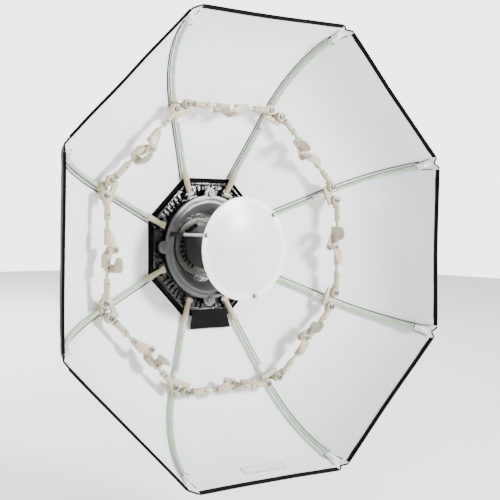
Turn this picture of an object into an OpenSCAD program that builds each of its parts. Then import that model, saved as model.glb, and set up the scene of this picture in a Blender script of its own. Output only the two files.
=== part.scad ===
// Collapsible eight-rib softbox with a locking ring of toggle links.
// Origin: centre of the mount insert's rear face. -Y is the way the light goes, +Z is up.
// Shapes are drawn with z along the light's way and are turned into place at the end.

/* [Canopy] */
// Height of the front opening's plane above the mount's rear face
rim_z = 243.7; // [238:0.1:250]
// Radius at which the canopy starts, on a rib
canopy_r = 138; // [136:0.5:142]
// Thickness of the canopy's two layers
canopy_t = 1.6; // [1:0.1:2]
// Distance from a rod's axis to the canopy's inner face
canopy_gap = 8; // [7.8:0.1:9]
// Length of the chamfer that cuts each corner of the rim
corner_cut = 21.6; // [10:0.2:30]

/* [Ribs] */
// Radius of a fibreglass rod
rod_r = 3.5; // [3:0.1:3.8]
// Radius at which a rib is hinged
hinge_r = 107; // [106:0.5:108]
// Height of the rib hinges
hinge_z = 36; // [35.5:0.1:37]
// Outer end of the moulded sleeve at a rod's root
sleeve_r = 149.4; // [148:0.1:151]
// Height of a rod where it leaves its sleeve
sleeve_z = 45; // [44.5:0.1:46]
// Slope of a rod's straight part
rod_slope = 18; // [17:0.5:18]
// Radius at which a rod starts to bend
bend_start_r = 279.5; // [279:0.5:282]
// Radius of a rod's bend
bend_r = 220; // [216:1:224]
// Slope of a rod at its tip
tip_slope = 68; // [66:0.5:69]

/* [Locking ring] */
// Radius of the circle that the brackets lie on
ring_r = 272.4; // [271:0.1:273]
// Distance of each link pivot from the middle of its bracket
ear_y = 13.9; // [13.6:0.1:14.4]
// Height of the rear face of the bracket plates
plate_z = 99; // [98.5:0.1:99.5]
// Height of the axis of the link rods
link_z = 112; // [111.8:0.1:112.4]
// Radius of the link sockets
socket_r = 5.5; // [5:0.1:5.6]
// Distance that a knuckle pin lies inside the line of its links
knuckle_in = 11; // [10.5:0.1:11.5]
// Radius of a link rod
link_rod_r = 3; // [2.5:0.1:3.2]

/* [Speedring] */
// Circumradius of the octagonal base
base_r = 130; // [128:0.5:131]
// Outer radius of the clamp ring
clamp_r = 97.4; // [96:0.1:98]
// Radius of the circle of the clamp ring's lugs
lug_r = 99.5; // [99:0.1:100]
// Height of the lug faces
lug_z = 45; // [44.8:0.1:45.4]
// Radius of the mount insert
insert_r = 52; // [51:0.1:53]
// Radius of the insert's central bore
throat_r = 20; // [18:0.1:22]

/* [Deflector] */
// Radius of the deflector disc
disc_r = 93.5; // [92:0.1:95]
// Height of the rear face of the deflector's flange
disc_z = 155.4; // [150:0.1:158]
// Rise of the deflector's dome
dome_h = 8; // [6:0.5:10]
// Radius of the circle of the deflector's studs
stud_circle = 88.3; // [87.5:0.1:89]

/* [Hidden] */
$fn = 64;
sides = 8;
half_gore = 180 / sides;

cream = [0.89, 0.85, 0.78];
rod_green = [0.80, 0.84, 0.78];
shell_black = [0.06, 0.06, 0.07];
fit = 0.05;
gap = 0.3;

// Rib n stands at this angle, seen from the front
function rib_angle(n) = 22.5 + 45 * (n - 1);
// Height of a rod's axis on its straight part
function rod_z(r) = sleeve_z + (r - sleeve_r) * tan(rod_slope);

sleeve_slope = atan2(sleeve_z - hinge_z, sleeve_r - hinge_r);
sleeve_len = norm([sleeve_z - hinge_z, sleeve_r - hinge_r]);
bend_start_z = rod_z(bend_start_r);
bend_centre = [bend_start_r - bend_r * sin(rod_slope), bend_start_z + bend_r * cos(rod_slope)];
yoke_z = rod_z(ring_r);
// Distance from a link pivot to the middle of its gore, along the link
link_len = ring_r * sin(half_gore) - ear_y * cos(half_gore);

// Canopy profile, offset d to the rear of the rod's axis, as radius and height pairs
bend_steps = 10;
function on_bend(t, d) = bend_centre + (bend_r + d) * [sin(t), -cos(t)];
function canopy_end(d) =
    let (tip = on_bend(tip_slope, d))
    [tip[0] + (rim_z - tip[1]) / tan(tip_slope), rim_z];
function canopy_profile(d) = concat(
    [[canopy_r, rod_z(canopy_r) - d / cos(rod_slope)]],
    [for (i = [0:bend_steps]) on_bend(rod_slope + (tip_slope - rod_slope) * i / bend_steps, d)],
    [canopy_end(d)]
);
// A point at distance u along the gore from the rib whose corner is at radius p[0]
function on_gore(p, u) = [p[0] - u * sin(half_gore), u * cos(half_gore), p[1]];
rim_corner = canopy_end(canopy_gap)[0];
cut_x = rim_corner - corner_cut / 2 * tan(half_gore);

module optical() { rotate([90, 0, 0]) children(); }
module at_rib(n) { rotate([0, 0, rib_angle(n)]) children(); }
// Puts the x axis on a slope in a rib's own plane, starting at radius r and height z
module on_slope(r, z, slope) { translate([r, 0, z]) rotate([0, -slope, 0]) children(); }
module bar(r1, r2, from, to) {
    translate([from, 0, 0]) rotate([0, 90, 0]) cylinder(h = to - from, r1 = r1, r2 = r2);
}
module ring(outer, inner, low, high) {
    difference() {
        translate([0, 0, low]) cylinder(h = high - low, r = outer);
        translate([0, 0, low - 1]) cylinder(h = high - low + 2, r = inner);
    }
}
module octagon(r, low, high) {
    translate([0, 0, low]) rotate([0, 0, half_gore]) cylinder(h = high - low, r = r, $fn = sides);
}

// Mount insert: a slotted plate that turns in the speedring
flange_t = 3.4;
plate_front = 9;
slot_in = 33;
slot_out = 44;
slot_floor = 2;
retainer_screw_r = 2.6;
module slot_cut(angle) {
    rotate([0, 0, angle])
        translate([slot_in, -2.3, slot_floor]) cube([slot_out - slot_in, 4.6, plate_front]);
}
module oval_cut(angle) {
    for (turn = [-9, 0, 9])
        rotate([0, 0, angle + turn]) translate([39, 0, slot_floor]) cylinder(h = plate_front, r = 5);
}
module mount_insert() {
    color([0.46, 0.46, 0.43]) optical() difference() {
        union() {
            translate([0, 0, flange_t - 0.1]) cylinder(h = plate_front - flange_t + 0.1, r = insert_r);
            cylinder(h = flange_t, r = 60);
        }
        translate([0, 0, -1]) cylinder(h = plate_front + 2, r = throat_r + 4);
        for (half = [0, 180]) {
            for (k = [0:6]) slot_cut(166 + half + 13.5 * k);
            oval_cut(112 + half);
            oval_cut(143 + half);
        }
    }
}
module insert_socket() {
    color([0.30, 0.30, 0.29]) optical() difference() {
        union() {
            cylinder(h = 19, r = throat_r + 4);
            translate([0, 0, plate_front]) cylinder(h = 5, r = throat_r + 10);
        }
        translate([0, 0, -1]) cylinder(h = 21, r = throat_r);
    }
}
module insert_retainer() {
    color([0.50, 0.50, 0.47]) optical() {
        ring(55, 46, plate_front, plate_front + 1.4);
        for (a = [95, 275]) rotate([0, 0, a])
            translate([49.5, 0, plate_front + 1.4]) cylinder(h = 1.2, r = retainer_screw_r);
    }
}

// Speedring: octagonal base, clamp ring, hinge pins and rear shroud
base_floor = 24;
base_top = 30;
wall_top = 38;
wall_t = 4;
wall_step = 0.5;
lip = 0.6;
cheek_in = 7;
cheek_out = 10.5;
pin_r = 2.5;
lug_angles = [0, 90, 180, 270];
stud_angles = [164, 44, -76];
base_apothem = base_r * cos(half_gore);
module hinge_cheek(side) {
    translate([hinge_r - 7, side * (cheek_in + cheek_out) / 2 - (cheek_out - cheek_in) / 2, base_top - 1])
        cube([14, cheek_out - cheek_in, hinge_z + 5 - base_top + 1]);
}
module speedring_base() {
    color(shell_black) optical() difference() {
        union() {
            rotate_extrude() polygon([
                [insert_r + fit, 3.7], [69, 3.7], [96, 25], [96, base_top + lip], [91, base_top + lip],
                [68, 8.7], [insert_r + fit, 8.7]
            ]);
            difference() {
                octagon(base_r, base_floor, base_top);
                translate([0, 0, base_floor - 1]) cylinder(h = 20, r = 93);
            }
            difference() {
                octagon(base_r - wall_step, base_top - 1, wall_top);
                octagon(base_r - wall_t, base_top - 3, wall_top + 1);
                for (n = [1:sides]) at_rib(n)
                    translate([base_r - 20, -9, base_top - lip]) cube([30, 18, 20]);
            }
            for (n = [1:sides]) at_rib(n) for (side = [-1, 1]) hinge_cheek(side);
            // Stiffening webs between the hinge pockets
            for (n = [1:sides]) for (turn = [12, 17, 22.5, 28, 33])
                if (abs(turn - 22.5) > 1 || n % 2 == 1) rotate([0, 0, rib_angle(n) + turn])
                    translate([100, -0.9, base_top - 1]) cube([15.5, 1.8, 5]);
            for (a = lug_angles) rotate([0, 0, a])
                translate([lug_r, 0, base_top - 1]) cylinder(h = 11, r = 8);
        }
        for (n = [1:sides]) at_rib(n) translate([hinge_r, 20, hinge_z])
            rotate([90, 0, 0]) cylinder(h = 40, r = pin_r);
        for (a = lug_angles) rotate([0, 0, a])
            translate([lug_r, 0, base_top - 8]) cylinder(h = 30, r = 2);
    }
}
lug_head_r = 5.5;
module clamp_ring() {
    color([0.55, 0.55, 0.56]) optical() difference() {
        union() {
            rotate_extrude() polygon([
                [66.7, 20], [69, 20], [86, 37], [93, 40.2], [clamp_r, 40.2], [clamp_r, lug_z - 0.4],
                [clamp_r - 1, lug_z + 0.6], [89.3, lug_z + 0.6], [88.9, lug_z - 0.6], [86.4, lug_z - 0.6],
                [86, lug_z], [82.5, lug_z], [80, 42.5], [66.7, 23.3]
            ]);
            for (a = lug_angles) rotate([0, 0, a])
                translate([lug_r, 0, 40.2]) cylinder(h = lug_z - 40.2, r = 12);
        }
        for (a = lug_angles) rotate([0, 0, a]) translate([lug_r, 0, 30]) {
            cylinder(h = 30, r = 2.6);
            translate([0, 0, lug_z - 30]) cylinder(h = 10, r = lug_head_r + 0.4);
        }
        for (a = stud_angles) rotate([0, 0, a]) translate([stud_circle, 0, 30]) cylinder(h = 30, r = 2);
    }
}
module lug_screws() {
    color([0.78, 0.78, 0.80]) optical() for (a = lug_angles) rotate([0, 0, a]) translate([lug_r, 0, 0]) {
        translate([0, 0, base_top]) cylinder(h = lug_z - base_top, r = 2);
        difference() {
            translate([0, 0, lug_z]) cylinder(h = 3, r = lug_head_r);
            translate([-4, -0.6, lug_z + 2]) cube([8, 1.2, 2]);
        }
    }
}
module rib_hinge_pins() {
    color([0.70, 0.70, 0.72]) optical() for (n = [1:sides]) at_rib(n)
        translate([hinge_r, cheek_out, hinge_z]) rotate([90, 0, 0]) cylinder(h = 2 * cheek_out, r = pin_r);
}
module rear_shroud() {
    color(shell_black) optical() difference() {
        union() {
            octagon(base_r + 4, base_floor - 4, base_floor);
            rotate([0, 0, 0]) ring(100, 72, 9, base_floor - 4);
        }
        translate([0, 0, base_floor - 1.9]) cylinder(h = 5, r = 96.5);
        rotate_extrude() polygon([[40, 0], [70, 3], [97, 24.3], [97, 30], [40, 30]]);
    }
}

// Deflector on three studs
stud_foot = lug_z - 0.6;
module deflector_studs() {
    color([0.75, 0.75, 0.77]) optical() for (a = stud_angles) rotate([0, 0, a])
        translate([stud_circle, 0, 0]) {
        translate([0, 0, stud_foot - 8]) cylinder(h = disc_z + 6.5 - stud_foot + 8, r = 2);
        translate([0, 0, lug_z + 0.6]) cylinder(h = 44, r = 4.2);
        translate([0, 0, lug_z + 44.6]) cylinder(h = disc_z - lug_z - 44.6, r = 3);
    }
}
dome_edge = 82;
disc_t = 1.6;
dome_sphere = (dome_edge * dome_edge + dome_h * dome_h) / (2 * dome_h);
dome_steps = 8;
function dome(r, lift) = [r, disc_z + lift + sqrt(dome_sphere * dome_sphere - r * r) - dome_sphere + dome_h];
module deflector_disc() {
    color([0.93, 0.93, 0.90]) optical() difference() {
        rotate_extrude() polygon(concat(
            [for (i = [0:dome_steps]) dome(dome_edge * i / dome_steps, 0)],
            [[disc_r, disc_z], [disc_r, disc_z + disc_t]],
            [for (i = [dome_steps:-1:0]) dome(dome_edge * i / dome_steps, disc_t)]
        ));
        for (a = stud_angles) rotate([0, 0, a])
            translate([stud_circle, 0, disc_z - 1]) cylinder(h = 4, r = 2);
    }
}
module deflector_nuts() {
    color([0.80, 0.80, 0.82]) optical() for (a = stud_angles) rotate([0, 0, a])
        translate([stud_circle, 0, disc_z + disc_t]) difference() {
            cylinder(h = 3.6, r = 4.4, $fn = 6);
            translate([0, 0, -1]) cylinder(h = 6, r = 2);
        }
}
tag_w = 80;
tag_flare = 6;
tag_low = -152.4;
tag_t = 0.8;
tag_z = lug_z + 0.4;
tag_top = wall_t - base_apothem;
module blank_tag() {
    color([0.09, 0.09, 0.09]) optical() {
        translate([0, 0, tag_z]) linear_extrude(tag_t) polygon([
            [-tag_w / 2, tag_top], [-tag_w / 2, tag_top - 14], [-tag_w / 2 - tag_flare, tag_low],
            [tag_w / 2 + tag_flare, tag_low], [tag_w / 2, tag_top - 14], [tag_w / 2, tag_top],
        ]);
        translate([8 - tag_w / 2, 0.3 - base_apothem, wall_top])
            cube([tag_w - 16, wall_t - 0.6, tag_z - wall_top]);
    }
}

// Rib: rod, root sleeve, stop sleeve, trunnion collar and tip
collar_half = 7;
collar_out = 8.6;
collar_r = 7.4;
trunnion_y = 13;
module rib(n) {
    optical() at_rib(n) {
        color(rod_green) {
            on_slope(ring_r, yoke_z, rod_slope) bar(rod_r, rod_r,
                (sleeve_r - 4 - ring_r) / cos(rod_slope), (bend_start_r - ring_r) / cos(rod_slope));
            translate([bend_centre[0], 0, bend_centre[1]]) rotate([90, 0, 0])
                rotate([0, 0, rod_slope - 90]) rotate_extrude(angle = tip_slope - rod_slope)
                    translate([bend_r, 0]) circle(r = rod_r);
        }
        color(cream) difference() {
            union() {
                on_slope(hinge_r, hinge_z, sleeve_slope) bar(4.6, 5.8, 2, sleeve_len);
                translate([hinge_r, cheek_in - 0.4, hinge_z])
                    rotate([90, 0, 0]) cylinder(h = 2 * cheek_in - 0.8, r = 5.2);
            }
            translate([hinge_r, 20, hinge_z]) rotate([90, 0, 0]) cylinder(h = 40, r = pin_r + fit);
        }
        color([0.93, 0.94, 0.92]) on_slope(ring_r, yoke_z, rod_slope) bar(5.2, 5.2, -29, -collar_half);
        color(cream) {
            on_slope(ring_r, yoke_z, rod_slope) bar(collar_r, collar_r, -collar_half, collar_out);
            translate([ring_r, trunnion_y, yoke_z])
                rotate([90, 0, 0]) cylinder(h = 2 * trunnion_y, r = pin_r);
            translate([bend_centre[0], 0, bend_centre[1]]) rotate([0, -tip_slope, 0])
                translate([0, 0, -bend_r]) bar(4.4, 3.8, -6, 9);
        }
    }
}

// Bracket: a C-shaped plate with a pivot screw in each ear and a fork on the rib's trunnion
plate_t = 5;
ear_r = 9.5;
fork_in = 8.2;
fork_out = 12;
screw_r = 3;
eye_low = plate_z + plate_t + gap;
eye_high = 111;
module bracket(n) {
    color(cream) optical() at_rib(n) {
        difference() {
            union() {
                translate([0, 0, plate_z]) for (side = [-1, 1])
                    translate([ring_r, side * ear_y, 0]) cylinder(h = plate_t, r = ear_r);
                translate([ring_r - 16.5, -ear_y - 5, plate_z]) cube([9, 2 * ear_y + 10, plate_t]);
                for (side = [-1, 1]) {
                    translate([ring_r - 4.6, side * (fork_in + fork_out) / 2 - 1.9, yoke_z])
                        cube([9.2, fork_out - fork_in, plate_z - yoke_z + 1]);
                    translate([ring_r, side * (fork_in + fork_out) / 2 + 1.9, yoke_z])
                        rotate([90, 0, 0]) cylinder(h = fork_out - fork_in, r = 4.6);
                }
            }
            translate([ring_r, 20, yoke_z]) rotate([90, 0, 0]) cylinder(h = 40, r = pin_r + fit);
        }
        for (side = [-1, 1]) translate([ring_r, side * ear_y, 0]) {
            translate([0, 0, plate_z + plate_t - 1])
                cylinder(h = eye_high + gap - plate_z - plate_t + 1, r = screw_r);
            difference() {
                translate([0, 0, eye_high + gap]) cylinder(h = 2.6, r = 4.8);
                translate([-6, -0.6, eye_high + 2]) cube([12, 1.2, 3]);
            }
        }
    }
}

// Half links, drawn from their pivot along x, with y towards the middle of the ring
socket_end = 41.5;
inner_start = 56;
knuckle_back = 8;
cheek_t = 3.5;
front_cheek = link_z + 6.3;
rear_cheek = link_z - 10.5;
module at_link(n, side) {
    optical() at_rib(n) translate([ring_r, side * ear_y, 0]) mirror([0, (1 - side) / 2, 0])
        rotate([0, 0, 90 + half_gore]) children();
}
module link_body() {
    difference() {
        union() {
            translate([0, 0, eye_low]) cylinder(h = eye_high - eye_low, r = 8.6);
            translate([4, -socket_r, eye_low]) cube([12, 2 * socket_r, eye_high - eye_low]);
        }
        translate([0, 0, eye_low - 1]) cylinder(h = 12, r = screw_r + fit);
    }
    translate([0, 0, link_z]) {
        bar(socket_r, socket_r, 9.5, socket_end);
        bar(link_rod_r, link_rod_r, socket_end - 3, inner_start + 3);
        bar(socket_r, socket_r, inner_start, link_len - knuckle_back);
    }
}
module cheek_plate(low) {
    translate([0, 0, low]) linear_extrude(cheek_t) {
        polygon([
            [60, socket_r - 1], [60, -socket_r + 1], [63, -socket_r], [80, -socket_r],
            [link_len + 5.6, knuckle_in - 5], [link_len - 5.6, knuckle_in + 5]
        ]);
        translate([link_len, knuckle_in]) circle(r = 7.5);
    }
}
module cheek_link(n) {
    color(cream) at_link(n, 1) {
        link_body();
        translate([62, -socket_r + 0.5, link_z]) cube([20, 2 * socket_r - 1, front_cheek + cheek_t - link_z]);
        cheek_plate(front_cheek);
        translate([link_len, knuckle_in, front_cheek + cheek_t]) difference() {
            cylinder(h = 2.7, r = 5);
            translate([-6, -0.6, 1.7]) cube([12, 1.2, 2]);
        }
    }
}
blade_y = 9.5;
blade_t = 3;
module paddle_link(n) {
    color(cream) at_link(n, -1) {
        link_body();
        translate([62, -socket_r + 0.5, rear_cheek]) cube([20, 2 * socket_r - 1, link_z - rear_cheek]);
        cheek_plate(rear_cheek);
        translate([52, 2, link_z - 4]) cube([14, blade_y + blade_t - 2, 8]);
        translate([0, blade_y + blade_t, 0]) rotate([90, 0, 0]) linear_extrude(blade_t) {
            translate([52, link_z - 4]) square([14, 20]);
            translate([52, link_z + 13.5]) square([26, 8]);
            translate([65, link_z + 21.5]) circle(r = 13);
        }
    }
}

// One half of a gore, from its rib to the middle of the gore; side is 1 or -1
module half_gore_sheet(n, side) {
    front = canopy_profile(canopy_gap);
    rear = canopy_profile(canopy_gap + canopy_t);
    count = len(front);
    points = [for (i = [0:count - 1]) for (k = [0:3])
        let (p = k < 2 ? front[i] : rear[i])
        on_gore(p, k == 0 || k == 3 ? 0.4 : p[0] * sin(half_gore) - 0.2)];
    walls = [for (i = [0:count - 2]) for (k = [0:3])
        [4 * i + k, 4 * i + (k + 1) % 4, 4 * i + 4 + (k + 1) % 4, 4 * i + 4 + k]];
    caps = [[3, 2, 1, 0], [4 * count - 4, 4 * count - 3, 4 * count - 2, 4 * count - 1]];
    color([0.88, 0.88, 0.89]) optical() at_rib(n) mirror([0, (1 - side) / 2, 0]) difference() {
        polyhedron(points = points, faces = concat(walls, caps), convexity = 4);
        translate([cut_x, -5, rim_z - 60]) cube([30, 40, 70]);
    }
}

mount_insert();
insert_socket();
insert_retainer();
speedring_base();
clamp_ring();
lug_screws();
rib_hinge_pins();
rear_shroud();
deflector_studs();
deflector_disc();
deflector_nuts();
blank_tag();
for (n = [1:sides]) {
    rib(n);
    bracket(n);
    cheek_link(n);
    paddle_link(n);
    half_gore_sheet(n, 1);
    half_gore_sheet(n, -1);
}
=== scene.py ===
"""Looks for the collapsible octagonal softbox: cloth, rods, mouldings, hub and deflector."""

import math

import bmesh
import bpy
import numpy as np
from mathutils import Matrix, Vector, noise

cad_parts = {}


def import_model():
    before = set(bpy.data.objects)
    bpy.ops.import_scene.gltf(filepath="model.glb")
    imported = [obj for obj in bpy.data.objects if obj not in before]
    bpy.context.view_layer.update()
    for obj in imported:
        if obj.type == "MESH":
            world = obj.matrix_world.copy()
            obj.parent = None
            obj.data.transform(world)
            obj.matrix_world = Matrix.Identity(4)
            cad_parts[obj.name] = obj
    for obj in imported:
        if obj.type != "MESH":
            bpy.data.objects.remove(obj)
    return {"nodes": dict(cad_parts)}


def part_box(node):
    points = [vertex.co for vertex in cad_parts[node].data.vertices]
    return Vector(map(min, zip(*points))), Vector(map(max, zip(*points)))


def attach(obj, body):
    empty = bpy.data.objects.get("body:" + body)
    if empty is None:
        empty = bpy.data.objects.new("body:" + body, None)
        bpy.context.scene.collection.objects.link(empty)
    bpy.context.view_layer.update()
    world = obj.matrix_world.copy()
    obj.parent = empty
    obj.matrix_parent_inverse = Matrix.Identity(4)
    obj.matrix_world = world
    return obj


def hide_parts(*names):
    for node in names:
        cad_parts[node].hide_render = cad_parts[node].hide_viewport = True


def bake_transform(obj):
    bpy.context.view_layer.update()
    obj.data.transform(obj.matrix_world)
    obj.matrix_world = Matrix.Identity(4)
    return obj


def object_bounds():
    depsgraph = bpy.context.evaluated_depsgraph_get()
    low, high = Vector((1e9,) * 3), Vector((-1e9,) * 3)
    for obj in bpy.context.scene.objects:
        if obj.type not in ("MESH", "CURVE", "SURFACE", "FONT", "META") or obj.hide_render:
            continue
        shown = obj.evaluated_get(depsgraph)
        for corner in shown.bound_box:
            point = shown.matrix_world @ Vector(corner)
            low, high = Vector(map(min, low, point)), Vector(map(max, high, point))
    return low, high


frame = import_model()
cad_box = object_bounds()

# ---------------------------------------------------------------- driving sizes
# Lengths are in millimetres, FIRST_RIB (rib 1's angle, seen from the front) is in degrees, and HALF (half the
# angle between two ribs) and the slopes are in radians
MM = 0.001
SIDES = 8
FIRST_RIB = 22.5
HALF = math.radians(22.5)

# Ribs: radius and height of the hinges and of the sleeves' ends, a rod's radius and slope, where its bend
# starts, the bend's radius, and the slope at its tip
HINGE_R, HINGE_Z = 107.0, 36.0
SLEEVE_R, SLEEVE_Z = 149.4, 45.0
ROD_R = 3.5
ROD_SLOPE = math.radians(18)
BEND_START_R = 279.5
BEND_R = 220.0
TIP_SLOPE = math.radians(68)

# Canopy: radius of its opening, height of its rim, distance behind the rods, and width of a corner's cut
CANOPY_R = 138.0
RIM_Z = 243.7
CANOPY_GAP = 8.0
CLOTH_T = 1.0
CORNER_CUT = 21.6

# Locking ring: radius of its brackets, distance of their ears from a rib's plane, height of the half links,
# and a knuckle's place in a half link's own frame
RING_R = 272.4
EAR_Y = 13.9
LINK_Z = 112.0
KNUCKLE = (91.4, 11.0)


def rod_height(r):
    """Height of a rod's axis at radius r, on its straight part."""
    return SLEEVE_Z + (r - SLEEVE_R) * math.tan(ROD_SLOPE)


BEND_CENTRE = (
    BEND_START_R - BEND_R * math.sin(ROD_SLOPE),
    rod_height(BEND_START_R) + BEND_R * math.cos(ROD_SLOPE),
)


# ---------------------------------------------------------------- places
def rib_angle(n):
    """Angle of rib n, seen from the front, in radians."""
    return math.radians(FIRST_RIB + 45 * (n - 1))


def world(points, angle=0.0):
    """Points in millimetres with z to the front, turned by angle and put in the shared frame, in metres."""
    p = np.asarray(points, float)
    c, s = math.cos(angle), math.sin(angle)
    x = c * p[..., 0] - s * p[..., 1]
    y = s * p[..., 0] + c * p[..., 1]
    return np.stack([x, -p[..., 2], y], -1) * MM


def on_bend(turn, offset):
    """Point of the rods' bend, offset to the rear of a rod's axis, as (radius, height)."""
    r = BEND_R + offset
    return BEND_CENTRE[0] + r * math.sin(turn), BEND_CENTRE[1] - r * math.cos(turn)


def profile(offset):
    """Cloth line over a rib, as radius and height pairs from the hub to the rim."""
    start = (CANOPY_R, rod_height(CANOPY_R) - offset / math.cos(ROD_SLOPE))
    first = on_bend(ROD_SLOPE, offset)
    tip = on_bend(TIP_SLOPE, offset)
    rim = (tip[0] + (RIM_Z - tip[1]) / math.tan(TIP_SLOPE), RIM_Z)
    hub_steps, bend_steps, rim_steps = 12, 24, 4
    hub_part = np.linspace(start, first, hub_steps, endpoint=False)
    turns = np.linspace(ROD_SLOPE, TIP_SLOPE, bend_steps, endpoint=False)
    bend_part = [on_bend(turn, offset) for turn in turns]
    rim_part = np.linspace(tip, rim, rim_steps + 1)
    return np.concatenate([hub_part, bend_part, rim_part])


LINE = profile(CANOPY_GAP)
LINE_S = np.concatenate([[0], np.cumsum(np.linalg.norm(np.diff(LINE, axis=0), axis=1))])
LINE_LEN = LINE_S[-1]
RIM_R = LINE[-1][0]


def on_line(s):
    """Radius, height and rearward normal of the cloth line at length s from the hub."""
    step = 2.0
    lengths = np.clip([s, s - step, s + step], 0, LINE_LEN)
    radii = np.interp(lengths, LINE_S, LINE[:, 0])
    heights = np.interp(lengths, LINE_S, LINE[:, 1])
    dr, dz = radii[2] - radii[1], heights[2] - heights[1]
    size = np.hypot(dr, dz)
    return radii[0], heights[0], dz / size, -dr / size


def gore_point(s, u, lift, side):
    """Point of a gore at length s along it and u millimetres from its rib, lifted to the front."""
    r, z, nr, nz = on_line(s)
    x = r - abs(u) * math.sin(HALF) - lift * nr * math.cos(HALF)
    y = abs(u) * math.cos(HALF) - lift * nr * math.sin(HALF)
    return np.array([x, side * y, z - lift * nz])


def line_end(u):
    """Length of the cloth at u millimetres from its rib, shortened where the rim's corner is cut."""
    cut = RIM_R - CORNER_CUT / 2 * math.tan(HALF)
    r_max = min(RIM_R, cut + abs(u) * math.sin(HALF))
    return LINE_LEN - (RIM_R - r_max) / math.cos(TIP_SLOPE)


# ---------------------------------------------------------------- materials
def node(tree, kind, **inputs):
    """A new shader node, with some of its inputs set."""
    made = tree.nodes.new(kind)
    for name, value in inputs.items():
        made.inputs[name.replace("_", " ")].default_value = value
    return made


def material(name, colour, rough, metal=0.0, coat=0.0, sheen=0.0, shade=0.06, blotch=25.0,
             grain=900.0, bump=0.15, depth=0.0002, rough_swing=0.08, weave=0.0, shine=0.5):
    """A procedural material: blotches of shade, varied roughness, and a fine grain or weave in the bump."""
    made = bpy.data.materials.new(name)
    made.use_nodes = True
    tree = made.node_tree
    links = tree.links
    bsdf = tree.nodes["Principled BSDF"]
    bsdf.inputs["Metallic"].default_value = metal
    bsdf.inputs["Coat Weight"].default_value = coat
    bsdf.inputs["Coat Roughness"].default_value = 0.12
    bsdf.inputs["Sheen Weight"].default_value = sheen
    bsdf.inputs["Specular IOR Level"].default_value = shine
    place = tree.nodes.new("ShaderNodeTexCoord")
    broad = node(tree, "ShaderNodeTexNoise", Scale=blotch, Detail=4.0, Roughness=0.6)
    links.new(place.outputs["Object"], broad.inputs["Vector"])
    ramp = tree.nodes.new("ShaderNodeValToRGB")
    dark = [c * (1 - shade) for c in colour]
    light = [min(1.0, c * (1 + shade * 0.6)) for c in colour]
    ramp.color_ramp.elements[0].position = 0.3
    ramp.color_ramp.elements[0].color = (*dark, 1)
    ramp.color_ramp.elements[1].position = 0.7
    ramp.color_ramp.elements[1].color = (*light, 1)
    links.new(broad.outputs["Fac"], ramp.inputs["Fac"])
    links.new(ramp.outputs["Color"], bsdf.inputs["Base Color"])
    swing = tree.nodes.new("ShaderNodeMapRange")
    swing.inputs["To Min"].default_value = max(0.02, rough - rough_swing)
    swing.inputs["To Max"].default_value = min(1.0, rough + rough_swing)
    links.new(broad.outputs["Fac"], swing.inputs["Value"])
    links.new(swing.outputs["Result"], bsdf.inputs["Roughness"])
    fine = node(tree, "ShaderNodeTexNoise", Scale=grain, Detail=3.0, Roughness=0.55)
    links.new(place.outputs["Object"], fine.inputs["Vector"])
    height = fine.outputs["Fac"]
    if weave:
        for direction in ("X", "Z"):
            wave = node(tree, "ShaderNodeTexWave", Scale=weave, Distortion=0.6, Detail=1.0)
            wave.bands_direction = direction
            links.new(place.outputs["Object"], wave.inputs["Vector"])
            add = tree.nodes.new("ShaderNodeMath")
            add.operation = "ADD"
            links.new(height, add.inputs[0])
            links.new(wave.outputs["Fac"], add.inputs[1])
            height = add.outputs["Value"]
    relief = tree.nodes.new("ShaderNodeBump")
    relief.inputs["Strength"].default_value = bump
    relief.inputs["Distance"].default_value = depth
    links.new(height, relief.inputs["Height"])
    links.new(relief.outputs["Normal"], bsdf.inputs["Normal"])
    return made


LINING = material("white_lining", (0.86, 0.87, 0.885), 0.62, sheen=0.15, shade=0.015, blotch=9, weave=500,
                  grain=700, bump=0.12, depth=0.0002, rough_swing=0.05)
# Black outer cloth, also used as painted shade under the insert's slots
SHELL_AND_SLOT_SHADE = material("black_shell_and_slot_shade", (0.007, 0.007, 0.008), 0.8, shine=0.2, shade=0.25, blotch=14, weave=420,
                 grain=900, bump=0.3, depth=0.0004)
BINDING = material("black_binding", (0.004, 0.004, 0.0045), 0.9, shine=0.08, shade=0.3, blotch=60,
                   weave=700, grain=1500, bump=0.5, depth=0.0004)
TAPE = material("seam_tape", (0.84, 0.85, 0.85), 0.7, sheen=0.2, shade=0.03, blotch=60, weave=800,
                grain=1500, bump=0.4, depth=0.0003)
POCKET = material("pocket_cloth", (0.82, 0.82, 0.83), 0.75, sheen=0.2, shade=0.05, blotch=70, weave=700,
                  grain=1200, bump=0.4, depth=0.0004)
THREAD = material("black_thread", (0.008, 0.008, 0.009), 0.9, shine=0.1, shade=0.3, blotch=300, grain=3000,
                  bump=0.6)
OUTLINE = material("patch_stitching", (0.42, 0.42, 0.43), 0.8, shade=0.2, blotch=300, grain=3000, bump=0.6)
GLASS_FIBRE = material("glass_fibre_rod", (0.37, 0.48, 0.33), 0.28, coat=0.4, shade=0.12, blotch=45,
                       grain=1400, bump=0.2, depth=0.0002)
CREAM = material("cream_nylon", (0.43, 0.375, 0.26), 0.42, coat=0.05, shade=0.08, blotch=50, grain=1600,
                 bump=0.14, depth=0.0001)
MILKY = material("milky_sleeve", (0.78, 0.80, 0.78), 0.3, coat=0.3, shade=0.04, blotch=60, grain=1200,
                 bump=0.1, depth=0.0001)
GLOSS_BLACK = material("gloss_black_nylon", (0.003, 0.003, 0.0035), 0.2, coat=0.15, shade=0.3, blotch=40,
                       grain=130, bump=0.8, depth=0.003, rough_swing=0.09)
REAR_BLACK = material("black_rear_moulding", (0.006, 0.006, 0.007), 0.5, shine=0.3, shade=0.25, blotch=25,
                      grain=900, bump=0.25, depth=0.0003)
GREY_CAST = material("grey_casting", (0.115, 0.115, 0.12), 0.42, metal=0.55, shade=0.10, blotch=30,
                     grain=1300, bump=0.16, depth=0.0001)
PLATE = material("insert_paint", (0.075, 0.075, 0.066), 0.5, metal=0.3, shade=0.12, blotch=45, grain=1500,
                 bump=0.2, depth=0.0001)
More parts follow.
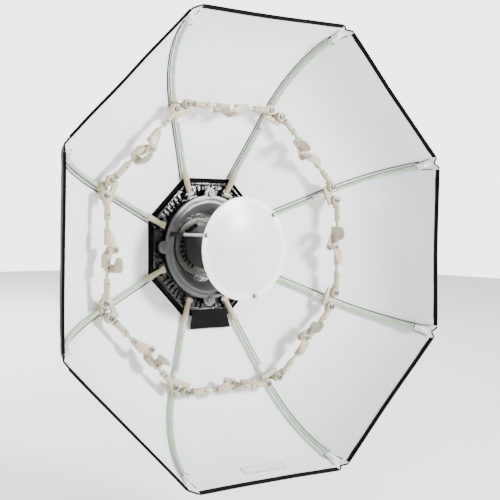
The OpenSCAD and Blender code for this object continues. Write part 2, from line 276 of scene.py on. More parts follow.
SOCKET = material("socket_paint", (0.03, 0.029, 0.026), 0.5, metal=0.3, shade=0.2, blotch=45, grain=1500,
                  bump=0.2, depth=0.0001)
CHROME = material("bright_screws", (0.42, 0.42, 0.43), 0.36, metal=1.0, shade=0.08, blotch=120, grain=2500,
                  bump=0.08, depth=0.0001)
PIVOT_STEEL = material("pivot_screw_steel", (0.14, 0.14, 0.142), 0.42, metal=0.8, shade=0.15, blotch=120,
                       grain=2500, bump=0.1, depth=0.0001)
# Black for the studs' spacers, and painted shade in the screw slots and pin holes
DARK_SPACER_AND_PAINTED_SHADE = material("dark_spacer_and_painted_shade", (0.008, 0.008, 0.009), 0.5, metal=0.2, shine=0.3, shade=0.2, blotch=90,
                      grain=1800, bump=0.15, depth=0.0001)
ENAMEL = material("white_enamel", (0.74, 0.735, 0.70), 0.38, coat=0.15, shade=0.012, blotch=15, grain=1100,
                  bump=0.06, depth=0.0001)
LABEL = material("black_label", (0.006, 0.006, 0.006), 0.9, shine=0.1, shade=0.3, blotch=60, weave=900,
                 grain=2000, bump=0.6, depth=0.0003)


def paint_light_beyond(made, radius, colour):
    """Paints a material lighter beyond a radius from the light's axis, as painted light on the deflector's
    flange.
    """
    tree = made.node_tree
    bsdf = tree.nodes["Principled BSDF"]
    painted = bsdf.inputs["Base Color"].links[0].from_socket
    place = tree.nodes.new("ShaderNodeTexCoord")
    flat = tree.nodes.new("ShaderNodeVectorMath")
    flat.operation = "MULTIPLY"
    flat.inputs[1].default_value = (1, 0, 1)
    far = tree.nodes.new("ShaderNodeVectorMath")
    far.operation = "LENGTH"
    edge = tree.nodes.new("ShaderNodeMapRange")
    edge.inputs["From Min"].default_value = radius - 0.0006
    edge.inputs["From Max"].default_value = radius + 0.0006
    blend = tree.nodes.new("ShaderNodeMix")
    blend.data_type = "RGBA"
    blend.inputs["B"].default_value = (*colour, 1)
    tree.links.new(place.outputs["Object"], flat.inputs[0])
    tree.links.new(flat.outputs["Vector"], far.inputs[0])
    tree.links.new(far.outputs["Value"], edge.inputs["Value"])
    tree.links.new(edge.outputs["Result"], blend.inputs["Factor"])
    tree.links.new(painted, blend.inputs["A"])
    tree.links.new(blend.outputs["Result"], bsdf.inputs["Base Color"])


# Painted light: the deflector's flange is painted lighter than its dome, which is the same enamel
paint_light_beyond(ENAMEL, 0.0822, (0.90, 0.89, 0.86))


# ---------------------------------------------------------------- mesh makers
def piece(name, points, faces, finish, second_finish=None, kinds=None, sharp=40.0):
    """A mesh object from points in metres, smooth but for edges over sharp degrees. Kinds says for each face
    whether it has the first finish (0) or the second (1)."""
    mesh = bpy.data.meshes.new(name)
    mesh.from_pydata([tuple(p) for p in points], [], [tuple(int(i) for i in f) for f in faces])
    mesh.validate()
    mesh.materials.append(finish)
    if second_finish is not None:
        mesh.materials.append(second_finish)
        mesh.polygons.foreach_set("material_index", kinds)
    shape = bmesh.new()
    shape.from_mesh(mesh)
    bmesh.ops.recalc_face_normals(shape, faces=shape.faces)
    shape.to_mesh(mesh)
    shape.free()
    mesh.polygons.foreach_set("use_smooth", [True] * len(mesh.polygons))
    mesh.update()
    mesh.set_sharp_from_angle(angle=math.radians(sharp))
    made = bpy.data.objects.new(name, mesh)
    bpy.context.scene.collection.objects.link(made)
    return made


def ring_faces(count, size):
    """Faces of a solid whose points come as count rings of size points each, with flat ends."""
    faces = []
    for k in range(count - 1):
        for j in range(size):
            m = (j + 1) % size
            faces.append((k * size + j, k * size + m, (k + 1) * size + m, (k + 1) * size + j))
    faces.append(tuple(range(size - 1, -1, -1)))
    faces.append(tuple(range((count - 1) * size, count * size)))
    return faces


def tube(path, radii, sides=16):
    """Points and faces of a round tube with flat ends along a path. Radii is one radius, or one for each
    point."""
    path = np.asarray(path, float)
    count = len(path)
    radii = np.broadcast_to(np.asarray(radii, float), (count,))
    along = np.gradient(path, axis=0)
    along /= np.linalg.norm(along, axis=1)[:, None]
    normal = np.cross(along[0], [0.3, 0.5, 0.81])
    normal /= np.linalg.norm(normal)
    points = []
    for k in range(count):
        normal = normal - along[k] * (normal @ along[k])
        normal /= np.linalg.norm(normal)
        other = np.cross(along[k], normal)
        for j in range(sides):
            a = 2 * math.pi * j / sides
            points.append(path[k] + radii[k] * (math.cos(a) * normal + math.sin(a) * other))
    return points, ring_faces(count, sides)


def joined(*parts):
    """Several (points, faces) as one."""
    points, faces = [], []
    for more_points, more_faces in parts:
        base = len(points)
        points.extend(more_points)
        faces.extend(tuple(i + base for i in f) for f in more_faces)
    return points, faces


def turned(stations, start, direction, sides=24):
    """A turned shape from (distance, radius) stations along a line, set apart so that no two coincide."""
    apart = 1e-4
    direction = np.asarray(direction, float) / np.linalg.norm(direction)
    path = [start + direction * (d + apart * k) for k, (d, _) in enumerate(stations)]
    return tube(path, [r for _, r in stations], sides)


def round_ring(outline, steps, first=0.0):
    """A ring round the light's axis from a closed outline of (radius, height). First is in degrees."""
    points, faces = [], []
    size = len(outline)
    for k in range(steps):
        a = math.radians(first + 360 * k / steps)
        for r, z in outline:
            points.append((r * math.cos(a), r * math.sin(a), z))
        after = (k + 1) % steps
        for j in range(size):
            m = (j + 1) % size
            faces.append((size * k + j, size * after + j, size * after + m, size * k + m))
    return points, faces


def slab(front, rear):
    """A closed sheet between two grids of points, (rows, columns, 3). Its faces come front ones first."""
    rows, columns = front.shape[:2]
    points = [*front.reshape(-1, 3), *rear.reshape(-1, 3)]
    base = rows * columns
    ahead = []
    for i in range(rows - 1):
        for j in range(columns - 1):
            a = i * columns + j
            ahead.append((a, a + 1, a + columns + 1, a + columns))
    ring = [i * columns for i in range(rows)]
    ring += [(rows - 1) * columns + j for j in range(1, columns)]
    ring += [i * columns + columns - 1 for i in range(rows - 2, -1, -1)]
    ring += list(range(columns - 2, 0, -1))
    behind = [tuple(base + i for i in reversed(f)) for f in ahead]
    walls = [(a, b, base + b, base + a) for a, b in zip(ring, ring[1:] + ring[:1])]
    return points, ahead + behind + walls


# ---------------------------------------------------------------- cloth
# Shares of a half gore's width where its grid has points, steps along it, and how far its rim bows inwards
ACROSS = (
    0, 0.012, 0.03, 0.05, 0.065, 0.085, 0.11, 0.15, 0.2,
    0.27, 0.35, 0.44, 0.53, 0.62, 0.72, 0.81, 0.9, 1.0,
)
ALONG = 64
RIM_BOW = 2.0
SIDE_NAMES = {1: "left", -1: "right"}


# The cloth's slack: how deep a gore's belly, its slow drift, the puckers along a rib and the creases that fan
# out from a corner are
BELLY = 2.2
DRIFT = 1.6
PUCKER = 0.55
FAN = 0.9


def half_width(s):
    """Width of a half gore at length s, from its rib to the gore's middle."""
    return on_line(s)[0] * math.sin(HALF)


def slack(s, u, wide, angle, side):
    """How far the cloth stands off its flat gore, in millimetres, towards the rear."""
    share = u / wide
    p = gore_point(s, u, 0, side)
    q = world(p, angle)
    belly = BELLY * math.sin(math.pi * min(1.0, s / LINE_LEN)) * (share * (2 - share))
    drift = DRIFT * noise.noise(Vector(q * 9.0)) * min(1.0, share * 5)
    pucker = PUCKER * math.exp(-u / 16.0) * math.sin(s * 0.42 + 2 * noise.noise(Vector(q * 30)))
    pucker *= min(1.0, u / 4.0)
    near = math.hypot(u, LINE_LEN - s)
    fan = FAN * math.exp(-near / 70.0) * math.sin(9 * math.atan2(u, LINE_LEN - s + 1) * 1.6)
    fan *= min(1.0, u / 10.0) * min(1.0, (LINE_LEN - s) / 20.0)
    return belly + drift + pucker + fan


def cloth_grid(angle, side):
    """The lining's own grid in the rib's frame, with its slack."""
    rows = []
    for i in range(ALONG + 1):
        row = []
        for t in ACROSS:
            u_end = t * half_width(LINE_LEN)
            end = line_end(u_end) - RIM_BOW * math.sin(math.pi * t / 2) ** 2
            s = end * i / ALONG
            wide = half_width(s)
            u = t * wide
            row.append(gore_point(s, u, -slack(s, u, wide, angle, side), side))
        rows.append(row)
    return np.array(rows)


def turn_with_flap(made):
    """Bakes a cloth piece's place into its mesh."""
    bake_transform(made)


def half_gore(n, side):
    """The canopy from rib n to the gore's middle on one side: white lining inside, black outside."""
    angle = rib_angle(n)
    front = cloth_grid(angle, side)
    normals = np.cross(np.gradient(front, axis=0), np.gradient(front, axis=1))
    normals /= np.linalg.norm(normals, axis=2)[..., None]
    normals *= np.where(normals[..., 2:3] > 0, -1, 1)
    rear = front + normals * CLOTH_T
    points, faces = slab(world(front, angle), world(rear, angle))
    inside = (front.shape[0] - 1) * (front.shape[1] - 1)
    kinds = [0] * inside + [1] * (len(faces) - inside)
    name = f"canopy_{SIDE_NAMES[side]}_{n}"
    made = piece(name, points, faces, LINING, second_finish=SHELL_AND_SLOT_SHADE, kinds=kinds, sharp=50)
    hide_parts(f"gore_{SIDE_NAMES[side]}_{n}")
    turn_with_flap(made)
    return front, rear


# Rim binding: width, thickness in front and behind, and the first grid column past the corner pocket
BIND_W = 6.5
BIND_T = 0.8
BIND_BACK = 2.6
PAST_POCKET = 5


def rim_binding(n, side, front, rear):
    """A U-shaped black binding over the rim of a half gore, given the cloth's grids in the rib's frame."""
    rings = []
    for j in range(PAST_POCKET, front.shape[1]):
        edge_f, edge_r = front[-1, j], rear[-1, j]
        along = edge_f - front[-3, j]
        along /= np.linalg.norm(along)
        thick = edge_r - edge_f
        out = thick / np.linalg.norm(thick)
        rings.append([
            edge_f - along * BIND_W - out * 0.1, edge_f - along * BIND_W - out * BIND_T,
            edge_f - along * BIND_W * 0.5 - out * (BIND_T + 0.25),
            edge_f - out * BIND_T, edge_f + along * 1.1 - out * 0.3, edge_r + along * 1.1 + out * 0.9,
            edge_r + out * BIND_BACK, edge_r - along * BIND_W * 0.5 + out * (BIND_BACK + 0.25),
            edge_r - along * BIND_W * 1.6 + out * BIND_T, edge_r - along * BIND_W * 1.7 + out * 0.1,
        ])
    rings = np.array(rings)
    faces = ring_faces(rings.shape[0], rings.shape[1])
    points = world(rings.reshape(-1, 3), rib_angle(n))
    made = piece(f"rim_binding_{SIDE_NAMES[side]}_{n}", points, faces, BINDING, sharp=35)
    turn_with_flap(made)


def hub_hem(n, side, front):
    """The rolled black edge round the canopy's opening at the hub."""
    path = world(front[0] + np.array([0, 0, -0.4]), rib_angle(n))
    points, faces = tube(path, 1.5 * MM, 10)
    made = piece(f"hub_hem_{SIDE_NAMES[side]}_{n}", points, faces, BINDING)
    turn_with_flap(made)


# Seam on a rib's left side: the tape's edges from the rib's line, its faces above the cloth, and for each
# line of piping its distance from the rib's line and its radius
TAPE_EDGES = (1.0, 8.0)
TAPE_FACES = (0.75, 0.25)
PIPING = ((9.2, 0.95), (2.6, 0.75))
PIPING_LIFT = 0.7
SEAM_STOP = LINE_LEN - 26


def on_cloth(s, u, lift, n, side):
    """Point at a height above the slack lining, in the rib's frame."""
    return gore_point(s, u, lift - slack(s, u, half_width(s), rib_angle(n), side), side)


def rib_seam(n):
    """White tape over the seam beside rib n, and the black piping at its edges."""
    angle = rib_angle(n)
    grids = []
    for lift in TAPE_FACES:
        rows = []
        for s in np.linspace(6, SEAM_STOP, 91):
            rows.append([on_cloth(s, u, lift, n, 1) for u in np.linspace(*TAPE_EDGES, 4)])
        grids.append(world(rows, angle))
    points, faces = slab(grids[0], grids[1])
    tape = piece(f"seam_tape_{n}", points, faces, TAPE, sharp=50)
    turn_with_flap(tape)
    lines = []
    for u, radius in PIPING:
        path = [on_cloth(s, u, PIPING_LIFT, n, 1) for s in np.linspace(4, SEAM_STOP, 100)]
        lines.append(tube(world(path, angle), radius * MM, 8))
    points, faces = joined(*lines)
    piping = piece(f"seam_piping_{n}", points, faces, THREAD)
    turn_with_flap(piping)


# Corner pocket: its length, its half width at the rim, how much narrower it ends, and its rise over the rod,
# which is full at a distance from the rim and spreads over a share of the width
POCKET_LEN = 36.0
POCKET_HALF = 15.0
POCKET_TAPER = 7.0
POCKET_RISE = 13.0
RISE_LEN = 30.0
RISE_SHARE = 0.72
STITCH_LIFT = 0.35


def half_pocket(n, side):
    """One side of the tapered white pocket that takes a rod's tip, with its stitching."""
    rows, columns = 15, 7
    front, rear = [], []
    for i in range(rows):
        back = POCKET_LEN * i / (rows - 1)
        s = line_end(0) + 0.8 - back
        wide = POCKET_HALF - POCKET_TAPER * (back / POCKET_LEN)
        rise = POCKET_RISE * (1 - math.cos(math.pi * min(1.0, back / RISE_LEN))) / 2
        row_f, row_r = [], []
        for j in range(columns):
            b = j / (columns - 1)
            hill = max(0.0, 1 - (b / RISE_SHARE) ** 2) ** 0.8
            crease = 0.35 * math.sin(back * 0.7 + 3 * side * b + n)
            row_f.append(gore_point(s, b * wide, 1.3 + rise * hill + crease * hill, side))
            row_r.append(gore_point(s, b * wide, 0.1, side))
        front.append(row_f)
        rear.append(row_r)
    front, rear = np.array(front), np.array(rear)
    angle = rib_angle(n)
    points, faces = slab(world(front, angle), world(rear, angle))
    made = piece(f"corner_pocket_{SIDE_NAMES[side]}_{n}", points, faces, POCKET, sharp=55)
    turn_with_flap(made)
    seam = front[1:, columns - 2] + np.array([0, 0, STITCH_LIFT])
    across = front[rows - 2, :columns - 2] + np.array([-0.3, 0, STITCH_LIFT])
    threads = [tube(world(seam, angle), 0.8 * MM, 8), tube(world(across, angle), 0.7 * MM, 8)]
    points, faces = joined(*threads)
    stitches = piece(f"pocket_stitching_{SIDE_NAMES[side]}_{n}", points, faces, THREAD)
    turn_with_flap(stitches)


def corner_pocket(n):
    """The pocket at a corner of the rim: two sides, and the binding, which rides rib n."""
    half_pocket(n, 1)
    half_pocket(n, -1)
    edge = []
    for b in np.linspace(-1, 1, 9):
        u = abs(b) * 12.5
        edge.append(gore_point(line_end(u) + 1.2, u, -0.6, 1 if b >= 0 else -1))
    points, faces = tube(world(edge, rib_angle(n)), 1.5 * MM, 10)
    corner = piece(f"corner_binding_{n}", points, faces, BINDING)
    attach(corner, f"rib_{n}")


# Patch: its edges from the rim, its faces above the cloth, and for each side the rib whose half gore it lies
# on and how far it reaches from the gore's middle
PATCH_LOW, PATCH_HIGH = 31.0, 50.0
PATCH_FACES = (0.75, 0.2)
PATCH_RIB = {1: 6, -1: 7}
PATCH_REACH = {1: 37.0, -1: 52.0}


def blank_patch(side):
    """Half of the blank stitched patch on the bottom gore, which crosses the gore's middle."""
    n = PATCH_RIB[side]
    angle = rib_angle(n)
    reach = PATCH_REACH[side]
    grids = []
    for lift in PATCH_FACES:
        rows = []
        for s in np.linspace(LINE_LEN - PATCH_HIGH, LINE_LEN - PATCH_LOW, 7):
            wide = half_width(s)
            rows.append([on_cloth(s, u, lift, n, side) for u in np.linspace(wide - reach, wide, 9)])
        grids.append(np.array(rows))
    points, faces = slab(world(grids[0], angle), world(grids[1], angle))
    made = piece(f"blank_patch_{SIDE_NAMES[side]}", points, faces, TAPE, sharp=50)
    turn_with_flap(made)
    top = grids[0]
    path = np.concatenate([top[0, ::-1], top[1:, 0], top[-1, 1:]])
    points, faces = tube(world(path, angle), 0.6 * MM, 8)
    edge = piece(f"patch_outline_{SIDE_NAMES[side]}", points, faces, OUTLINE)
    turn_with_flap(edge)


# ---------------------------------------------------------------- ribs
def rod_path():
    """A rod's axis, from inside its sleeve to its tip."""
    back = SLEEVE_R - 5
    radii = np.linspace(back, BEND_START_R, 10, endpoint=False)
    points = [(r, 0, rod_height(r)) for r in radii]
    for turn in np.linspace(ROD_SLOPE, TIP_SLOPE, 33):
        r, z = on_bend(turn, 0)
        points.append((r, 0, z))
    return np.array(points)


def along_rib(r, z, slope):
    """Start point and direction of a line in a rib's plane, in the rib's frame."""
    return np.array([r, 0, z]), np.array([math.cos(slope), 0, math.sin(slope)])


# Turned parts of a rib: (distance along its line, radius) of each station
SLEEVE_KNUCKLE = [(0, ROD_R), (0.1, 4.6), (0.7, 5.2), (12.5, 5.2), (13.1, 4.6), (13.2, ROD_R)]
ROD_STOP = [
    (-29, ROD_R), (-28.95, 4.5), (-28, 5.1), (-27, 5.25), (-9, 5.25), (-7.2, 5.1), (-6.9, ROD_R),
]
YOKE_COLLAR = [
    (-7, ROD_R), (-6.95, 6.6), (-6.2, 7.3), (-5, 7.4), (7, 7.4), (8, 7.2), (8.6, 6.4), (8.61, ROD_R),
]
TRUNNION = [(0, 1.6), (0.05, 2.2), (0.4, 2.5), (25.6, 2.5), (25.95, 2.2), (26, 1.6)]
ROD_TIP = [(-6, ROD_R), (-5.9, 4.2), (-5, 4.5), (5, 4.3), (8, 3.6), (9.2, 2.2), (9.5, 0.6)]


def shaped(name, stations, start, direction, n, finish):
    """A turned piece that rides rib n."""
    points, faces = turned(stations, start, direction, 28)
    made = piece(name, world(points, rib_angle(n)), faces, finish, sharp=35)
    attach(made, f"rib_{n}")


def rib(n):
    """Rod n with its hinged sleeve, stop sleeve, collar with trunnions, and tip."""
    points, faces = tube(rod_path(), ROD_R, 24)
    rod = piece(f"rod_{n}", world(points, rib_angle(n)), faces, GLASS_FIBRE)
    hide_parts(f"rib_{n}")
    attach(rod, f"rib_{n}")
    sleeve_slope = math.atan2(SLEEVE_Z - HINGE_Z, SLEEVE_R - HINGE_R)
    length = math.hypot(SLEEVE_Z - HINGE_Z, SLEEVE_R - HINGE_R)
    sleeve = [
        (1.5, 3.6), (2, 4.4), (3, 4.7), (length - 9, 5.6), (length - 8.4, 5.95),
        (length - 1.2, 6.0), (length - 0.4, 5.7), (length, 5.0), (length + 0.02, 3.55),
    ]
    start, direction = along_rib(HINGE_R, HINGE_Z, sleeve_slope)
    shaped(f"rod_sleeve_{n}", sleeve, start, direction, n, CREAM)
    start = (HINGE_R, -SLEEVE_KNUCKLE[-1][0] / 2, HINGE_Z)
    shaped(f"sleeve_knuckle_{n}", SLEEVE_KNUCKLE, start, (0, 1, 0), n, CREAM)
    yoke_z = rod_height(RING_R)
    start, direction = along_rib(RING_R, yoke_z, ROD_SLOPE)
    shaped(f"rod_stop_{n}", ROD_STOP, start, direction, n, MILKY)
    shaped(f"yoke_collar_{n}", YOKE_COLLAR, start, direction, n, CREAM)
    start = (RING_R, -TRUNNION[-1][0] / 2, yoke_z)
    shaped(f"yoke_trunnion_{n}", TRUNNION, start, (0, 1, 0), n, CREAM)
    tip_r, tip_z = on_bend(TIP_SLOPE, 0)
    start, direction = along_rib(tip_r, tip_z, TIP_SLOPE)
    shaped(f"rod_tip_{n}", ROD_TIP, start, direction, n, MILKY)


# ---------------------------------------------------------------- locking ring
# Half link: the ends of its bare rod from its pivot, that rod's radius, its sockets' lips and its pin holes
LINK_ROD = (41.0, 56.6)
LINK_ROD_R = 3.12
LIPS = ((38.6, 41.9), (55.6, 58.6))
PIN_HOLES = (33.0, 60.5)
PIN_HOLE_Z = LINK_Z + 5.1


def link_world(points, n, side):
    """Points from a half link's own frame, with x along it from its pivot, in the shared frame."""
    p = np.asarray(points, float)
    a = math.pi / 2 + HALF
    x = math.cos(a) * p[..., 0] - math.sin(a) * p[..., 1] + RING_R
    y = math.sin(a) * p[..., 0] + math.cos(a) * p[..., 1] + EAR_Y
    return world(np.stack([x, side * y, p[..., 2]], -1), rib_angle(n))


def link_trim(n, side, body):
    """The bare rod between a half link's sockets, the sockets' lips, dark discs of painted shade in the holes
    of the pins that hold it, and on one side the knuckle's screw with a bar of painted shade in its slot."""
    path = [(x, 0, LINK_Z) for x in np.linspace(*LINK_ROD, 6)]
    points, faces = tube(path, LINK_ROD_R, 20)
    rod = piece(f"link_rod_{body}", link_world(points, n, side), faces, GLASS_FIBRE)
    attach(rod, body)
    collars = []
    for x0, x1 in LIPS:
        stations = [(0, 5.3), (0.25, 5.75), (x1 - x0 - 0.25, 5.75), (x1 - x0, 5.3)]
        collars.append(turned(stations, (x0, 0, LINK_Z), (1, 0, 0), 24))
    points, faces = joined(*collars)
    lips = piece(f"socket_lips_{body}", link_world(points, n, side), faces, CREAM, sharp=35)
    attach(lips, body)
    # Painted shade: dark discs in the pin holes
    dots = []
    for x in PIN_HOLES:
        stations = [(0, 1.6), (0.55, 1.6), (0.6, 1.3)]
        dots.append(turned(stations, (x, 0, PIN_HOLE_Z), (0, 0, 1), 16))
    points, faces = joined(*dots)
    holes = piece(f"pin_hole_shade_{body}", link_world(points, n, side), faces, DARK_SPACER_AND_PAINTED_SHADE)
    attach(holes, body)
    if side == 1:
        stations = [(0, 3.9), (0.6, 3.95), (1.0, 3.6), (1.2, 2.4)]
        points, faces = turned(stations, (*KNUCKLE, LINK_Z + 12.3), (0, 0, 1), 24)
        points = link_world(points, n, side)
        screw = piece(f"knuckle_screw_{n}", points, faces, PIVOT_STEEL, sharp=30)
        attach(screw, body)
        # Painted shade: a dark bar in the knuckle screw's slot
        middle = np.array([*KNUCKLE, LINK_Z + 13.4])
        points, faces = tube([middle - (2.8, 0, 0), middle, middle + (2.8, 0, 0)], 0.7, 8)
        slot = piece(f"knuckle_slot_shade_{n}", link_world(points, n, side), faces, DARK_SPACER_AND_PAINTED_SHADE)
        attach(slot, body)


def pivot_screws(n):
    """The slotted steel heads of the screws in a bracket's ears, with dark bars of painted shade in their
    slots.
    """
    heads, slots = [], []
    for side in (1, -1):
        stations = [(0, 4.9), (1.9, 4.95), (2.5, 4.6), (2.8, 3.6), (2.95, 1.2)]
        heads.append(turned(stations, (RING_R, side * EAR_Y, LINK_Z - 0.6), (0, 0, 1), 28))
        # Painted shade: a dark bar in each screw head's slot
        turn = math.radians(35 * n + 50 * side)
        reach = np.array([math.cos(turn), math.sin(turn), 0]) * 3.7
        middle = np.array([RING_R, side * EAR_Y, LINK_Z + 2.15])
        slots.append(tube([middle - reach, middle, middle + reach], 0.85, 8))
    points, faces = joined(*heads)
    made = piece(f"pivot_screws_{n}", world(points, rib_angle(n)), faces, PIVOT_STEEL, sharp=30)
    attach(made, f"bracket_{n}")
    points, faces = joined(*slots)
    made = piece(f"screw_slot_shade_{n}", world(points, rib_angle(n)), faces, DARK_SPACER_AND_PAINTED_SHADE)
    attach(made, f"bracket_{n}")


# ---------------------------------------------------------------- hub and label
# Deflector's studs: their angles in degrees, their circle's radius, and the height of their sleeves' feet
STUD_ANGLES = (164, 44, -76)
STUD_CIRCLE = 88.3
STUD_FOOT_Z = 46.0


def stud_sleeves():
    """The dark spacers on the rear halves of the deflector's studs."""
    sleeves = []
    for a in STUD_ANGLES:
        turn = math.radians(a)
        foot = (STUD_CIRCLE * math.cos(turn), STUD_CIRCLE * math.sin(turn), STUD_FOOT_Z)
        stations = [(0, 4.0), (0.4, 4.4), (43.0, 4.4), (43.6, 4.0)]
        sleeves.append(turned(stations, foot, (0, 0, 1), 24))
    points, faces = joined(*sleeves)
    made = piece("stud_sleeves", world(points), faces, DARK_SPACER_AND_PAINTED_SHADE, sharp=35)
    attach(made, "speedring")


def hub_cuff():
    """The black cuff of cloth that closes the gap between the hub's base and the canopy's opening."""
    outline = [(129.0, 27.0), (134.5, 28.4), (139.5, 30.2), (139.5, 31.2), (134.5, 30.6), (129.0, 29.4)]
    points, faces = round_ring(outline, SIDES, FIRST_RIB)
    made = piece("hub_cuff", world(points), faces, BINDING, sharp=25)
    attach(made, "speedring")


def slot_shade():
    """Painted shade: a dark floor at the bottom of the insert's slots."""
    outline = [(32.0, 2.05), (45.5, 2.05), (45.5, 2.6), (32.0, 2.6)]
    points, faces = round_ring(outline, 96)
    made = piece("slot_shade", world(points), faces, SHELL_AND_SLOT_SHADE)
    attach(made, "mount")


# Label, in millimetres: half width at its top, and length before it widens. In metres: its thickness, its
# folded top's thickness and half width, the gap between its top and the CAD tag's, and how far its rear face
# is behind the tag's front
TAG_TOP_HALF = 40.0
TAG_STRAIGHT = 14.0
TAG_T = 0.0006
FOLD_T = 0.0008
FOLD_HALF = 0.032
TAG_TOP_GAP = 0.001
TAG_REAR = 0.0015


def hub_label():
    """The blank black label that hangs under the hub, wider and curled at its free edge."""
    low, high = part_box("blank_tag")
    rows, columns = 12, 16
    length = (high.z - low.z) / MM
    widest = (high.x - low.x) / 2 / MM
    grids = []
    for depth in (0, 1):
        grid = []
        for i in range(rows):
            down = i / (rows - 1)
            flare = max(0.0, length * down - TAG_STRAIGHT) / (length - TAG_STRAIGHT)
            reach = MM * (TAG_TOP_HALF + (widest - TAG_TOP_HALF) * flare)
            row = []
            for j in range(columns):
                x = reach * (2 * j / (columns - 1) - 1)
                z = high.z - TAG_TOP_GAP + (low.z - high.z + TAG_TOP_GAP) * down
                wave = 0.0009 * math.sin(j * 0.55 + 0.6) * down + 0.0022 * down ** 3
                row.append((x, low.y + TAG_REAR - wave - depth * TAG_T, z))
            grid.append(row)
        grids.append(np.array(grid))
    points, faces = slab(grids[0], grids[1])
    made = piece("hub_label", points, faces, LABEL, sharp=50)
    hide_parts("blank_tag")
    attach(made, "speedring")
    hem = [p + np.array([0, -0.0005, 0.0022]) for p in grids[1][-1]]
    points, faces = tube(hem, 0.0005, 8)
    stitch = piece("label_stitching", points, faces, THREAD)
    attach(stitch, "speedring")


def label_fold():
    """The folded top of the label, which runs back from its upper edge to the wall of the base."""
    low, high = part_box("blank_tag")
    rows, columns = 5, 8
    grids = []
    for depth in (0, 1):
        grid = []
        for i in range(rows):
            back = i / (rows - 1)
            row = []
            for j in range(columns):
                x = FOLD_HALF * (2 * j / (columns - 1) - 1)
                y = low.y + 0.001 + (high.y - low.y - 0.001) * back
                sag = 0.0006 * math.sin(math.pi * back)
                row.append((x, y, high.z - TAG_TOP_GAP - FOLD_T * depth - sag))
            grid.append(row)
        grids.append(np.array(grid))
    points, faces = slab(grids[0], grids[1])
    made = piece("label_fold", points, faces, LABEL, sharp=50)
    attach(made, "speedring")


# Material and width of the rounded edges, in metres, for each CAD node that shows
LOOKS = {
    "mount_insert": (PLATE, 0.0004),
    "insert_socket": (SOCKET, 0.0005),
    "insert_retainer": (PLATE, 0.0004),
    "speedring_base": (GLOSS_BLACK, 0.0005),
    "clamp_ring": (GREY_CAST, 0.0006),
    "lug_screws": (PIVOT_STEEL, 0.0004),
    "rib_hinge_pins": (CHROME, 0.0003),
    "rear_shroud": (REAR_BLACK, 0.0008),
    "deflector_studs": (CHROME, 0.0003),
    "deflector_disc": (ENAMEL, 0.0005),
    "deflector_nuts": (PIVOT_STEEL, 0.0004),
}
CREAM_BEVEL = 0.0005


def dress(name, finish, bevel):
    """Gives a CAD node its material and smooth shading, and rounds its edges with modifiers. Its vertices stay
    as they are."""
    made = frame["nodes"][name]
    made.data.materials.clear()
    made.data.materials.append(finish)
    weld = made.modifiers.new("weld", "WELD")
    weld.merge_threshold = 0.00001
    flat = made.modifiers.new("flat", "DECIMATE")
    flat.decimate_type = "DISSOLVE"
    flat.angle_limit = math.radians(0.5)
    round_edges = made.modifiers.new("round_edges", "BEVEL")
    round_edges.width = bevel
    round_edges.segments = 2
    round_edges.limit_method = "ANGLE"
    round_edges.angle_limit = math.radians(35)
    round_edges.harden_normals = False
    made.data.polygons.foreach_set("use_smooth", [True] * len(made.data.polygons))


def build():
    """Makes every piece, rib by rib, and dresses the CAD nodes that show."""
    for n in range(1, SIDES + 1):
        for side in (1, -1):
            front, rear = half_gore(n, side)
            rim_binding(n, side, front, rear)
            hub_hem(n, side, front)
        rib_seam(n)
        corner_pocket(n)
        rib(n)
        pivot_screws(n)
        link_trim(n, 1, f"cheek_link_{n}")
        link_trim(n, -1, f"paddle_link_{n}")
        for part in (f"bracket_{n}", f"cheek_link_{n}", f"paddle_link_{n}"):
            dress(part, CREAM, CREAM_BEVEL)
    for side in (1, -1):
        blank_patch(side)
    hub_label()
    label_fold()
    slot_shade()
    stud_sleeves()
    hub_cuff()
    for part, (finish, bevel) in LOOKS.items():
        dress(part, finish, bevel)


# ---------------------------------------------------------------- studio
# Strength of the light air in front of the softbox and behind it; the floor's size and its distance below
AIR_FRONT = 0.45
AIR_BACK = 4.0
FLOOR_SIZE = 14.0
FLOOR_DROP = 0.12
FLOOR_Z = cad_box[0].z - FLOOR_DROP

# Name, place, aim, size in metres and power in watts of each area light
MIDDLE = (0, -0.1, 0)
LAMPS = (
    ("key", (1.5, -2.6, 0.7), MIDDLE, 0.55, 200),
    ("fill", (-2.4, -2.4, 1.2), MIDDLE, 2.0, 30),
    ("floor_wash", (0.0, 4.0, 2.5), (0, 3.5, FLOOR_Z), 3.0, 350),
)


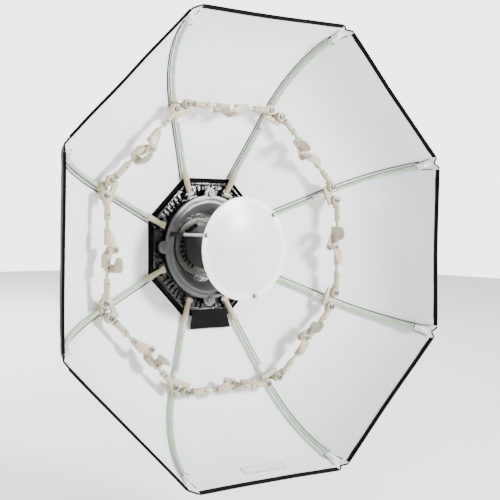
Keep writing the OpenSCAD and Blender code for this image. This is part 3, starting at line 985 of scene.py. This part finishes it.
def studio():
    """A pale floor, white air that is brighter behind the softbox, and three soft lights."""
    bpy.ops.mesh.primitive_grid_add(
        x_subdivisions=8, y_subdivisions=8, size=FLOOR_SIZE, location=(0, 1.5, FLOOR_Z))
    floor = bpy.context.object
    floor.name = "studio_floor"
    paper = material("studio_paper", (0.9, 0.9, 0.9), 0.9, shade=0.005, blotch=2, grain=60, bump=0.02)
    floor.data.materials.append(paper)
    air = bpy.context.scene.world or bpy.data.worlds.new("studio_air")
    bpy.context.scene.world = air
    air.use_nodes = True
    tree = air.node_tree
    sky = tree.nodes["Background"]
    sky.inputs["Color"].default_value = (1, 1, 1, 1)
    place = tree.nodes.new("ShaderNodeTexCoord")
    parts = tree.nodes.new("ShaderNodeSeparateXYZ")
    tree.links.new(place.outputs["Generated"], parts.inputs["Vector"])
    backdrop = tree.nodes.new("ShaderNodeMapRange")
    backdrop.interpolation_type = "SMOOTHSTEP"
    backdrop.inputs["From Min"].default_value = 0.1
    backdrop.inputs["From Max"].default_value = 0.6
    backdrop.inputs["To Min"].default_value = AIR_FRONT
    backdrop.inputs["To Max"].default_value = AIR_BACK
    tree.links.new(parts.outputs["Y"], backdrop.inputs["Value"])
    tree.links.new(backdrop.outputs["Result"], sky.inputs["Strength"])
    for name, place, aim, width, power in LAMPS:
        data = bpy.data.lights.new(name, "AREA")
        data.size = width
        data.energy = power
        lamp = bpy.data.objects.new(name, data)
        lamp.location = place
        lamp.rotation_euler = (Vector(aim) - Vector(place)).to_track_quat("-Z", "Y").to_euler()
        bpy.context.scene.collection.objects.link(lamp)


CAMERA_PLACE = (-1.1639, -1.7386, 0.0600)
CAMERA_AIM = (0.0333, -0.1261, -0.0037)
CAMERA_ROLL = math.radians(0.495)
LENS = 78.7
SENSOR = 36.0


def camera():
    """The camera at the photo's viewing angle."""
    data = bpy.data.cameras.new("camera")
    data.lens = LENS
    data.sensor_width = SENSOR
    made = bpy.data.objects.new("camera", data)
    bpy.context.scene.collection.objects.link(made)
    ahead = (Vector(CAMERA_AIM) - Vector(CAMERA_PLACE)).normalized()
    right = ahead.cross(Vector((0, 0, 1))).normalized()
    up = right.cross(ahead)
    c, s = math.cos(CAMERA_ROLL), math.sin(CAMERA_ROLL)
    right, up = right * c + up * s, up * c - right * s
    turn = Matrix((right, up, -ahead)).transposed().to_4x4()
    made.matrix_world = Matrix.Translation(CAMERA_PLACE) @ turn
    bpy.context.scene.camera = made


camera()
build()
studio()
